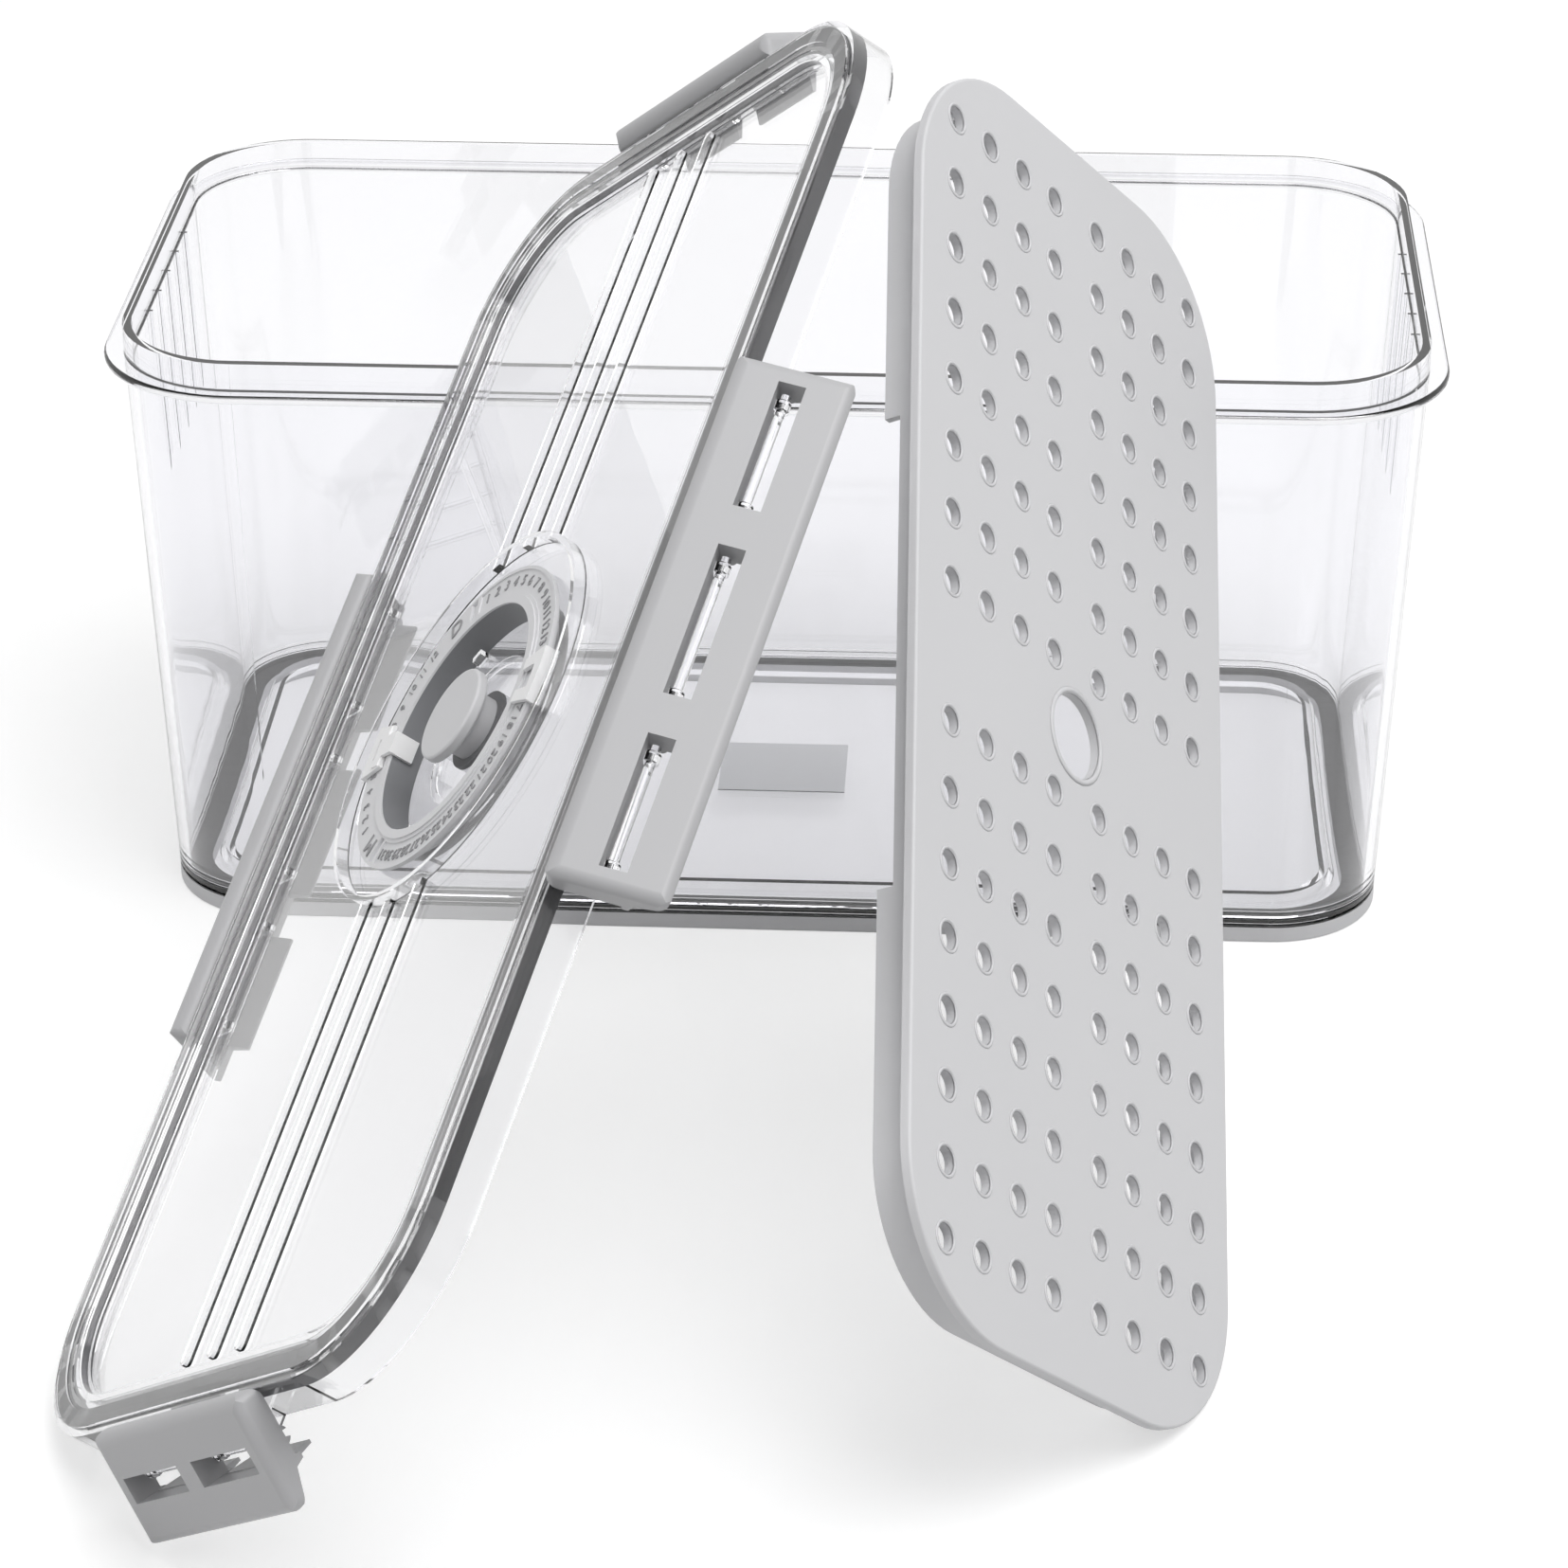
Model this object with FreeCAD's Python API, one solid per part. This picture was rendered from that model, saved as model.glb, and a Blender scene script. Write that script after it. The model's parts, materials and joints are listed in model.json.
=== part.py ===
import FreeCAD, Part
import math
import os

# Produce storage container: clear box, clear lid with dial and four latches, and a perforated drain tray.
# Millimetres, +Z up, origin in the middle of the ground that all the pieces cover together.
# The lid and the tray are taken off and lean back against the rim of the box, on its -Y side.
# Everything is drawn round the middle of the box's foot, and moved to the origin at the end.

# Box
BOX_LENGTH = 336.0
BOX_WIDTH = 172.0
BOX_HEIGHT = 157.0
FLANGE_RADIUS = 36.0
FLANGE_THICK = 2.2
FLANGE_ROUND = 0.9
COLLAR_INSET = 4.9
COLLAR_HEIGHT = 6.7
COLLAR_THICK = 2.2
WALL = 2.6
WALL_TAPER_X = 6.0
WALL_TAPER_Y = 4.8
FOOT_RADIUS = 28.5
LEDGE = 0.8
FLOOR_RIM_TOP = 7.0
FLOOR_TOP = 9.3
FLOOR_THICK = 2.4
FLOOR_RIM_WIDTH = 8.0
FLOOR_STEP_RUN = 1.6
FOOT_HEIGHT = 4.4
FOOT_RING_WIDTH = 8.5
FOOT_ROUND = 0.8
GROOVE_LEVELS = (5.2, 7.0, 8.8)
GROOVE_DEPTH = 0.45
GROOVE_HEIGHT = 0.7
END_RIBS = 5
END_RIB_PITCH = 14.0
END_RIB_WIDTH = 1.1
END_RIB_DEPTH = 0.8
END_RIB_LENGTH = 44.0
PATCH_LENGTH = 34.0
PATCH_WIDTH = 28.0
PATCH_LIFT = 0.2
MERGE = 0.5
CUT_REACH = 20.0

# Lid
LID_SIDE_GAP = 1.0
SKIRT_THICK = 1.8
GASKET_DEPTH = 5.0
GASKET_WIDTH = 4.8
LID_DEPTH = GASKET_DEPTH + COLLAR_HEIGHT
RIM_WIDTH = 10.0
RIM_SHEET = 0.9
RIM_STEP = 0.8
RIM_STEP_IN = 1.8
RIM_CREST_WIDTH = 4.0
RIM_STEP_WIDTH = 2.0
CHANNEL_WALL = 1.6
PANEL_RECESS = 3.5
PANEL_THICK = 2.2
PANEL_BORDER = 1.6
PANEL_BORDER_HEIGHT = 0.5
RIB_OFFSETS = (-13.0, 0.0, 13.0)
RIB_WIDTH = 3.0
RIB_HEIGHT = 1.4
RIB_END = 155.0

# Dial
LIP_RADIUS = 46.0
LIP_THICK = 1.4
LIP_TOP = -0.3
TRACK_RADIUS = 37.7
TRACK_TOP = -1.2
TRACK_THICK = 1.0
TRACK_SEAT_RADIUS = 36.0
SLEEVE_OUTER = 30.4
SLEEVE_INNER = 28.2
SLEEVE_TOP = -0.8
WELL_DEPTH = 7.5
CUP_WALL = 1.6
CUP_FLOOR = 1.8
SCALE_INNER = 31.3
SCALE_OUTER = 36.9
SCALE_DEPTH = 0.35
DAY_START = -19.0
DAY_END = 203.0
NOTCH_WIDTH = 2.6
NOTCH_DEPTH = 0.8
DAY_NOTCH = -23.0
MONTH_NOTCH = 207.0
TAB_ANGLES = (33.0, 147.0, 213.0, 327.0)
TAB_GAP = 0.3
TAB_WIDTH = 3.2
TAB_THICK = 1.9
TAB_HEIGHT = 2.0
BOSS_OUTER = 18.6
BOSS_INNER = 17.0
BOSS_HEIGHT = 0.8
POINTER_CLEARANCE = 0.3
POINTER_LIFT = 0.2
POINTER_THICK = 0.9
POINTER_HALF_ANGLE = 10.0
POINTER_OUTER = 39.2
POINTER_INNER = 31.2
POINTER_WINDOW_HALF_ANGLE = 4.6
POINTER_WINDOW_RADIUS = 36.2
DAY_REST = 90.0
MONTH_REST = 270.0
TAIL_WIDTH = 5.4
TAIL_THICK = 1.0
TAIL_END = 2.6
SHOULDER = 2.5
KNOB_RADIUS = 11.3
KNOB_TOP = 0.3
KNOB_THICK = 2.6
KNOB_STEM = 7.4
KNOB_SHAFT = 2.5
SHAFT_CLEARANCE = 0.1
KNOB_TRAVEL = 3.5
KNOB_CATCH = 3.4
KNOB_CATCH_HEIGHT = 1.2
SEAL_OUTER = 9.6
SEAL_THICK = 1.0
SEAL_LIFT = 0.1
AIR_HOLE_RADIUS = 1.1
AIR_HOLE_CIRCLE = 5.0
AIR_HOLES = 6

# Latches
LONG_LENGTH = 126.0
LONG_WINDOWS = ((-43.0, 31.0), (0.0, 36.0), (43.0, 31.0))
END_LENGTH = 69.0
END_WINDOWS = ((-16.5, 26.0), (16.5, 26.0))
LATCH_THICK = 6.6
LATCH_INNER = -0.6
LATCH_TOP = 12.0
LATCH_TIP = 14.5
LATCH_ROUND = 3.3
LATCH_TIP_ROUND = 2.2
LATCH_CORNER = 2.4
HINGE_OUT = 6.4
HINGE_DEPTH = 9.9
ROD_RADIUS = 1.1
ROD_CLEARANCE = 0.08
ROD_INSET = 1.2
LUG_RADIUS = 1.7
LUG_THICK = 2.2
LUG_INSET = 2.6
LUG_CLEARANCE = 0.4
BARREL_RADIUS = 2.3
SNAP_WIDTH = 1.7
WINDOW_TOP = 1.4
WINDOW_HEIGHT = 6.0
HOOK_OVERLAP = 2.4
HOOK_CLEARANCE = 0.4
HOOK_THICK = 2.4
HOOK_TOE = 0.8
LATCH_OPEN = 35.0

# Tray
TRAY_LENGTH = 302.0
TRAY_WIDTH = 132.0
TRAY_RADIUS = 37.0
TRAY_THICK = 2.4
TRAY_ROUND = 0.7
TRAY_SKIRT_INSET = 6.0
TRAY_SKIRT_THICK = 1.8
TRAY_SKIRT_DEPTH = 13.0
TRAY_SKIRT_SHALLOW = 9.0
TRAY_SHALLOW_HALF = 56.0
HOLE_RADIUS = 3.1
HOLE_ROWS = 8
HOLE_ROW_PITCH = 16.6
HOLE_COLUMNS = 4
HOLE_COLUMN_PITCH = 14.2
HOLE_MIDDLE_GAP = 19.0
FINGER_RADIUS = 10.0

# Where the lid and the tray stand: turn about the upright axis, lean back, tilt sideways, place along X
START_AWAY = 260.0
LID_TURN = -75.0
LID_LEAN = 51.0
LID_TILT = 25.0
LID_X = -61.0
TRAY_TURN = 59.0
TRAY_LEAN = 51.0
TRAY_TILT = -1.5
TRAY_X = 76.0
FLOOR_CLEARANCE = 0.1
REST_GAP = 0.1

# Sizes that follow from the ones above
HALF_LENGTH = BOX_LENGTH / 2
HALF_WIDTH = BOX_WIDTH / 2
FLANGE_TOP = BOX_HEIGHT - COLLAR_HEIGHT
FLANGE_UNDER = FLANGE_TOP - FLANGE_THICK
LID_HALF_LENGTH = HALF_LENGTH - LID_SIDE_GAP
LID_HALF_WIDTH = HALF_WIDTH - LID_SIDE_GAP
LID_RADIUS = FLANGE_RADIUS - LID_SIDE_GAP
WELL_FLOOR = SLEEVE_TOP - WELL_DEPTH
CUP_UNDER = WELL_FLOOR - CUP_FLOOR
PANEL_UNDER = -PANEL_RECESS - PANEL_THICK
HOOK_TOP = HINGE_DEPTH - LID_DEPTH - FLANGE_THICK - HOOK_CLEARANCE
HOOK_INNER = HALF_LENGTH - HOOK_OVERLAP - (LID_HALF_LENGTH + HINGE_OUT)


def vec(x, y, z):
    return FreeCAD.Vector(x, y, z)


def outline(hx, hy, r, z):
    """Closed wire of a rectangle with round corners, half sizes hx and hy, at height z."""
    edges = []
    turn = math.sqrt(0.5)
    corners = ((1, 1), (-1, 1), (-1, -1), (1, -1))
    last = vec(hx, -hy + r, z)
    for sx, sy in corners:
        centre = vec(sx * (hx - r), sy * (hy - r), z)
        along = vec(sx * r, 0, 0)
        across = vec(0, sy * r, 0)
        first, second = (along, across) if sx * sy > 0 else (across, along)
        start = centre + first
        middle = centre + vec(sx * r * turn, sy * r * turn, 0)
        end = centre + second
        edges.append(Part.makeLine(last, start))
        edges.append(Part.Arc(start, middle, end).toShape())
        last = end
    return Part.Wire(edges)


def slab(hx, hy, r, low, high):
    """Solid plate with round corners between two heights."""
    return Part.Face(outline(hx, hy, r, low)).extrude(vec(0, 0, high - low))


def band(hx, hy, r, width, low, high):
    """Ring that follows the round rectangle, with the given width inwards."""
    inner = slab(hx - width, hy - width, r - width, low - 1, high + 1)
    return slab(hx, hy, r, low, high).cut(inner)


def tapered(low, high):
    """Solid between two round rectangles, each given as half sizes, radius and height."""
    return Part.makeLoft([outline(*low), outline(*high)], True, True)


def tube(outer, inner, low, high):
    solid = Part.makeCylinder(outer, high - low, vec(0, 0, low))
    if inner > 0:
        solid = solid.cut(Part.makeCylinder(inner, high - low + 2, vec(0, 0, low - 1)))
    return solid


def block(x0, x1, y0, y1, z0, z1):
    return Part.makeBox(x1 - x0, y1 - y0, z1 - z0, vec(x0, y0, z0))


def sector(outer, inner, low, high, start, end):
    """Part of a tube between two dial angles, clockwise from the lid's top end."""
    solid = Part.makeCylinder(outer, high - low, vec(0, 0, low), vec(0, 0, 1), end - start)
    solid = solid.cut(Part.makeCylinder(inner, high - low + 2, vec(0, 0, low - 1)))
    solid.rotate(vec(0, 0, 0), vec(0, 0, 1), -end)
    return solid


def at_angle(shape, angle):
    """Turn a shape drawn on +X to a dial angle, clockwise from the lid's top end."""
    shape.rotate(vec(0, 0, 0), vec(0, 0, 1), -angle)
    return shape


def join(shapes):
    solid = shapes[0].multiFuse(shapes[1:])
    return solid.removeSplitter()


def round_edges(solid, radius, test):
    """Round the edges for which the test on the edge's middle point holds."""
    chosen = []
    for edge in solid.Edges:
        middle = edge.valueAt((edge.FirstParameter + edge.LastParameter) / 2)
        if test(middle, edge):
            chosen.append(edge)
    return solid.makeFillet(radius, chosen)


def on_level(point, z):
    return abs(point.z - z) < 0.01


def wall_at(z, inset):
    """Half sizes and radius of the tapered wall at a height, moved inwards by inset."""
    share = (FLANGE_UNDER - z) / (FLANGE_UNDER - FOOT_HEIGHT)
    hx = HALF_LENGTH - COLLAR_INSET - WALL_TAPER_X * share
    hy = HALF_WIDTH - COLLAR_INSET - WALL_TAPER_Y * share
    top_radius = FLANGE_RADIUS - COLLAR_INSET
    r = top_radius + (FOOT_RADIUS - top_radius) * share
    return (hx - inset, hy - inset, r - inset, z)


def end_rib(side, y):
    """Fine upright rib on the inner face of a short end, running out into the wall at its foot."""
    top = FLANGE_TOP - LEDGE
    foot = top - END_RIB_LENGTH
    x_top = wall_at(top, WALL)[0]
    x_foot = wall_at(foot, WALL)[0]
    half = END_RIB_WIDTH / 2
    sink = 0.3
    points = [
        vec(side * (x_top + sink), y - half, top),
        vec(side * (x_top - END_RIB_DEPTH), y - half, top),
        vec(side * (wall_at(foot + 6, WALL)[0] - END_RIB_DEPTH), y - half, foot + 6),
        vec(side * x_foot, y - half, foot),
        vec(side * (x_foot + sink), y - half, foot),
    ]
    face = Part.Face(Part.makePolygon(points + points[:1]))
    return face.extrude(vec(0, END_RIB_WIDTH, 0))


def make_container():
    wall = tapered(wall_at(FOOT_HEIGHT, 0), wall_at(FLANGE_UNDER, 0))
    flange = slab(HALF_LENGTH, HALF_WIDTH, FLANGE_RADIUS, FLANGE_UNDER, FLANGE_TOP)
    levels = (FLANGE_TOP, FLANGE_UNDER)
    flange = round_edges(flange, FLANGE_ROUND, lambda p, e: any(on_level(p, z) for z in levels))
    collar_x = HALF_LENGTH - COLLAR_INSET
    collar_y = HALF_WIDTH - COLLAR_INSET
    collar_r = FLANGE_RADIUS - COLLAR_INSET
    collar = slab(collar_x, collar_y, collar_r, FLANGE_UNDER, BOX_HEIGHT)
    body = wall.fuse([flange, collar])
    inside = tapered(wall_at(FLOOR_RIM_TOP, WALL), wall_at(FLANGE_TOP, WALL))
    mouth = slab(collar_x - COLLAR_THICK, collar_y - COLLAR_THICK, collar_r - COLLAR_THICK,
                 FLANGE_TOP - LEDGE, BOX_HEIGHT + 1)
    body = body.cut(inside).cut(mouth)
    floor_outer = wall_at(FLOOR_RIM_TOP, WALL + FLOOR_RIM_WIDTH)
    floor_inner = wall_at(FLOOR_TOP, WALL + FLOOR_RIM_WIDTH + FLOOR_STEP_RUN)
    body = body.fuse(tapered(floor_outer, floor_inner))
    under_outer = wall_at(FOOT_HEIGHT, WALL + FLOOR_RIM_WIDTH + FLOOR_THICK)
    under_inner = wall_at(FLOOR_TOP - FLOOR_THICK, WALL + FLOOR_RIM_WIDTH + FLOOR_STEP_RUN + FLOOR_THICK)
    body = body.cut(tapered(under_outer, under_inner))
    pad_x = PATCH_LENGTH / 2
    pad_y = PATCH_WIDTH / 2
    body = body.fuse(block(-pad_x, pad_x, -pad_y, pad_y, FLOOR_TOP - MERGE, FLOOR_TOP + PATCH_LIFT))
    for level in GROOVE_LEVELS:
        hx, hy, r, z = wall_at(level, -1.0)
        low = level - GROOVE_HEIGHT / 2
        body = body.cut(band(hx, hy, r, 1.0 + GROOVE_DEPTH, low, low + GROOVE_HEIGHT))
    ribs = []
    for side in (-1, 1):
        for n in range(END_RIBS):
            ribs.append(end_rib(side, (n - (END_RIBS - 1) / 2) * END_RIB_PITCH))
    return body.fuse(ribs).removeSplitter()


def make_foot_ring():
    hx, hy, r, z = wall_at(FOOT_HEIGHT, 0)
    ring = band(hx, hy, r, FOOT_RING_WIDTH, 0, FOOT_HEIGHT)
    return round_edges(ring, FOOT_ROUND, lambda p, e: on_level(p, 0))


def hinge_side(kind, angle, reach):
    """Hinge lugs and rod of one latch, drawn in the lid's frame. Outwards is +Y before it is turned."""
    windows = LONG_WINDOWS if kind == "long" else END_WINDOWS
    y = reach + HINGE_OUT
    shapes = []
    ends = []
    for middle, length in windows:
        for way in (-1, 1):
            x = middle + way * (length / 2 - LUG_INSET)
            ends.append(x)
            side = x - LUG_THICK / 2
            low = -HINGE_DEPTH - LUG_RADIUS
            lug = block(side, side + LUG_THICK, reach - MERGE, y, low, low + 2 * LUG_RADIUS)
            eye = Part.makeCylinder(LUG_RADIUS, LUG_THICK, vec(side, y, -HINGE_DEPTH), vec(1, 0, 0))
            shapes.append(lug.fuse(eye))
    half_rod = (LONG_LENGTH if kind == "long" else END_LENGTH) / 2 - ROD_INSET
    rod = Part.makeCylinder(ROD_RADIUS, 2 * half_rod, vec(-half_rod, y, -HINGE_DEPTH), vec(1, 0, 0))
    shapes.append(rod)
    solid = join(shapes)
    solid.rotate(vec(0, 0, 0), vec(0, 0, 1), angle - 90)
    return solid


LATCH_SIDES = {
    "latch_long_left": ("long", 90.0, LID_HALF_WIDTH),
    "latch_long_right": ("long", 270.0, LID_HALF_WIDTH),
    "latch_end_top": ("end", 0.0, LID_HALF_LENGTH),
    "latch_end_bottom": ("end", 180.0, LID_HALF_LENGTH),
}


def make_lid():
    """Clear moulding of the lid in its own frame: X to its top end, Z out of its face, rim crest at zero."""
    hx, hy, r = LID_HALF_LENGTH, LID_HALF_WIDTH, LID_RADIUS
    skirt = band(hx, hy, r, SKIRT_THICK, -LID_DEPTH, -RIM_STEP)
    sheet_low = -RIM_STEP - RIM_SHEET
    sheet = band(hx, hy, r, RIM_WIDTH, sheet_low, -RIM_STEP)
    crest = band(hx - RIM_STEP_IN, hy - RIM_STEP_IN, r - RIM_STEP_IN, RIM_CREST_WIDTH, sheet_low, 0)
    second = RIM_STEP_IN + RIM_CREST_WIDTH
    step = band(hx - second, hy - second, r - second, RIM_STEP_WIDTH, sheet_low, -RIM_STEP / 2)
    inner = RIM_WIDTH - CHANNEL_WALL
    channel = band(hx - inner, hy - inner, r - inner, CHANNEL_WALL, PANEL_UNDER, -RIM_STEP)
    edge = RIM_WIDTH - MERGE
    panel = slab(hx - edge, hy - edge, r - edge, PANEL_UNDER, -PANEL_RECESS)
    sunk = -PANEL_RECESS - MERGE
    border = band(hx - edge, hy - edge, r - edge, PANEL_BORDER, sunk, -PANEL_RECESS + PANEL_BORDER_HEIGHT)
    parts = [skirt, sheet, crest, step, channel, panel, border]
    for y in RIB_OFFSETS:
        start = math.sqrt(LIP_RADIUS ** 2 - y ** 2) - 0.7
        for way in (-1, 1):
            half = RIB_WIDTH / 2
            end = way * (RIB_END - half)
            x0, x1 = sorted((way * start, end))
            bar = block(x0, x1, y - half, y + half, sunk, -PANEL_RECESS + RIB_HEIGHT)
            tip = Part.makeCylinder(half, RIB_HEIGHT + MERGE, vec(end, y, sunk))
            parts.append(bar.fuse(tip))
    parts.append(tube(LIP_RADIUS, LIP_RADIUS - LIP_THICK, sunk, LIP_TOP))
    cup = tube(SLEEVE_OUTER + CUP_WALL, 0, CUP_UNDER, -PANEL_RECESS)
    parts.append(cup)
    for side in LATCH_SIDES.values():
        parts.append(hinge_side(*side))
    lid = join(parts)
    lid = lid.cut(Part.makeCylinder(SLEEVE_OUTER, CUT_REACH, vec(0, 0, WELL_FLOOR)))
    boss = tube(BOSS_OUTER, BOSS_INNER, WELL_FLOOR - MERGE, WELL_FLOOR + BOSS_HEIGHT)
    lid = lid.fuse(boss)
    for angle in TAB_ANGLES:
        out = SLEEVE_INNER - TAB_GAP
        half = TAB_WIDTH / 2
        tab = block(out - TAB_THICK, out, -half, half, WELL_FLOOR - MERGE, WELL_FLOOR + TAB_HEIGHT)
        lid = lid.fuse(at_angle(tab, angle))
    lid = lid.cut(Part.makeCylinder(KNOB_SHAFT + SHAFT_CLEARANCE, CUT_REACH, vec(0, 0, CUP_UNDER - 1)))
    for n in range(AIR_HOLES):
        hole = Part.makeCylinder(AIR_HOLE_RADIUS, CUT_REACH, vec(AIR_HOLE_CIRCLE, 0, CUP_UNDER - 1))
        lid = lid.cut(at_angle(hole, n * 360 / AIR_HOLES))
    return lid.removeSplitter()


def make_gasket():
    hx = LID_HALF_LENGTH - SKIRT_THICK
    hy = LID_HALF_WIDTH - SKIRT_THICK
    r = LID_RADIUS - SKIRT_THICK
    return band(hx, hy, r, GASKET_WIDTH, -GASKET_DEPTH, -RIM_STEP - RIM_SHEET)


def make_date_ring():
    """Calendar ring: flat track, a raised inner lip and a sleeve that lines the well."""
    ring = tube(TRACK_RADIUS, SLEEVE_INNER, TRACK_TOP - TRACK_THICK, TRACK_TOP)
    seat = tube(TRACK_SEAT_RADIUS, SLEEVE_INNER, -PANEL_RECESS, TRACK_TOP)
    sleeve = tube(SLEEVE_OUTER, SLEEVE_INNER, WELL_FLOOR, SLEEVE_TOP)
    ring = join([ring, seat, sleeve])
    top = TRACK_TOP + 1
    ring = ring.cut(sector(SCALE_OUTER, SCALE_INNER, TRACK_TOP - SCALE_DEPTH, top, DAY_START, DAY_END))
    for angle in (DAY_NOTCH, MONTH_NOTCH):
        half = NOTCH_WIDTH / 2
        notch = block(SLEEVE_OUTER + 0.6, SCALE_OUTER, -half, half, TRACK_TOP - NOTCH_DEPTH, top)
        ring = ring.cut(at_angle(notch, angle))
    return ring


def pointer_frame():
    """White C-shaped clip: plate over the track, leg down its outer edge and a foot under it."""
    low = TRACK_TOP + POINTER_LIFT
    top = low + POINTER_THICK
    span = POINTER_HALF_ANGLE
    plate = sector(POINTER_OUTER, POINTER_INNER, low, top, -span, span)
    half = POINTER_WINDOW_HALF_ANGLE
    window = sector(POINTER_WINDOW_RADIUS, POINTER_INNER - 4, low - 1, top + 1, -half, half)
    leg_low = -PANEL_RECESS + POINTER_LIFT
    leg = sector(POINTER_OUTER, TRACK_RADIUS + POINTER_CLEARANCE, leg_low, top, -span, span)
    foot_top = TRACK_TOP - TRACK_THICK - POINTER_CLEARANCE
    foot = sector(POINTER_OUTER, TRACK_SEAT_RADIUS + 2 * POINTER_CLEARANCE, leg_low, foot_top, -span, span)
    return plate.cut(window).fuse([leg, foot]).removeSplitter()


def make_day_pointer():
    return at_angle(pointer_frame(), DAY_REST)


def make_month_pointer():
    """The month clip also has a tail that crosses the inner lip and runs down the well wall."""
    clip = pointer_frame()
    low = TRACK_TOP + POINTER_LIFT
    over = SLEEVE_TOP + POINTER_LIFT
    inner = SLEEVE_INNER - POINTER_CLEARANCE - TAIL_THICK
    half = TAIL_WIDTH / 2
    top = over + POINTER_THICK
    bridge = block(inner, POINTER_INNER + 3, -half, half, over, top)
    wide = half + SHOULDER
    shoulder = block(POINTER_INNER + 0.2, POINTER_INNER + 3, -wide, wide, low, top)
    tail = block(inner, inner + TAIL_THICK, -half, half, WELL_FLOOR + TAIL_END, top)
    clip = clip.fuse([bridge, shoulder, tail]).removeSplitter()
    return at_angle(clip, MONTH_REST)


def make_knob():
    """Mushroom head, stem, and a shaft through the cup floor with a catch that stops it coming out."""
    head = Part.makeCylinder(KNOB_RADIUS, KNOB_THICK, vec(0, 0, KNOB_TOP - KNOB_THICK))
    head = round_edges(head, 0.7, lambda p, e: e.Curve.TypeId == "Part::GeomCircle")
    seal_top = WELL_FLOOR + SEAL_LIFT + SEAL_THICK
    stem = Part.makeCylinder(KNOB_STEM, KNOB_TOP - 1 - seal_top, vec(0, 0, seal_top))
    neck = Part.makeCylinder(KNOB_STEM - 0.8, SEAL_THICK + 1, vec(0, 0, seal_top - SEAL_THICK))
    catch_top = CUP_UNDER - KNOB_TRAVEL - 0.1
    shaft = Part.makeCylinder(KNOB_SHAFT, seal_top - catch_top, vec(0, 0, catch_top))
    tip = catch_top - KNOB_CATCH_HEIGHT
    catch = Part.makeCone(KNOB_CATCH - KNOB_CATCH_HEIGHT, KNOB_CATCH, KNOB_CATCH_HEIGHT, vec(0, 0, tip))
    return join([head, stem, neck, shaft, catch])


def make_seal():
    low = WELL_FLOOR + SEAL_LIFT
    return tube(SEAL_OUTER, KNOB_STEM - 0.8, low, low + SEAL_THICK)


def latch_profile(length):
    """Latch plate in its hinge frame, closed: X along the hinge, Y outwards, Z towards the lid's face."""
    y0 = LATCH_INNER
    y1 = LATCH_INNER + LATCH_THICK
    r = LATCH_ROUND
    t = LATCH_TIP_ROUND
    top = LATCH_TOP
    tip = -LATCH_TIP
    step = HOOK_TOP
    q = math.sqrt(0.5)
    edges = [
        Part.makeLine(vec(0, y0, step), vec(0, y0, top - r)),
        Part.Arc(vec(0, y0, top - r), vec(0, y0 + r - r * q, top - r + r * q), vec(0, y0 + r, top)).toShape(),
        Part.Arc(vec(0, y0 + r, top), vec(0, y1 - r + r * q, top - r + r * q), vec(0, y1, top - r)).toShape(),
        Part.makeLine(vec(0, y1, top - r), vec(0, y1, tip + t)),
        Part.Arc(vec(0, y1, tip + t), vec(0, y1 - t + t * q, tip + t - t * q), vec(0, y1 - t, tip)).toShape(),
        Part.makeLine(vec(0, y1 - t, tip), vec(0, y1 - t - 1.2, tip + 0.6)),
        Part.makeLine(vec(0, y1 - t - 1.2, tip + 0.6), vec(0, y0 + 1.0, step - 2.4)),
        Part.makeLine(vec(0, y0 + 1.0, step - 2.4), vec(0, y0 - 1.2, step - 1.4)),
        Part.makeLine(vec(0, y0 - 1.2, step - 1.4), vec(0, y0 - 1.2, step)),
        Part.makeLine(vec(0, y0 - 1.2, step), vec(0, y0, step)),
    ]
    face = Part.Face(Part.Wire(edges))
    solid = face.extrude(vec(length, 0, 0))
    solid.translate(vec(-length / 2, 0, 0))
    return solid


def hook(middle, length):
    """Catch that reaches under the box flange, below one window."""
    points = [
        vec(middle - length / 2, LATCH_INNER + 1.5, HOOK_TOP),
        vec(middle - length / 2, HOOK_INNER, HOOK_TOP),
        vec(middle - length / 2, HOOK_INNER, HOOK_TOP - HOOK_TOE),
        vec(middle - length / 2, LATCH_INNER - 1.0, HOOK_TOP - HOOK_THICK),
        vec(middle - length / 2, LATCH_INNER + 1.5, HOOK_TOP - HOOK_THICK),
    ]
    face = Part.Face(Part.makePolygon(points + points[:1]))
    return face.extrude(vec(length, 0, 0))


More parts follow.
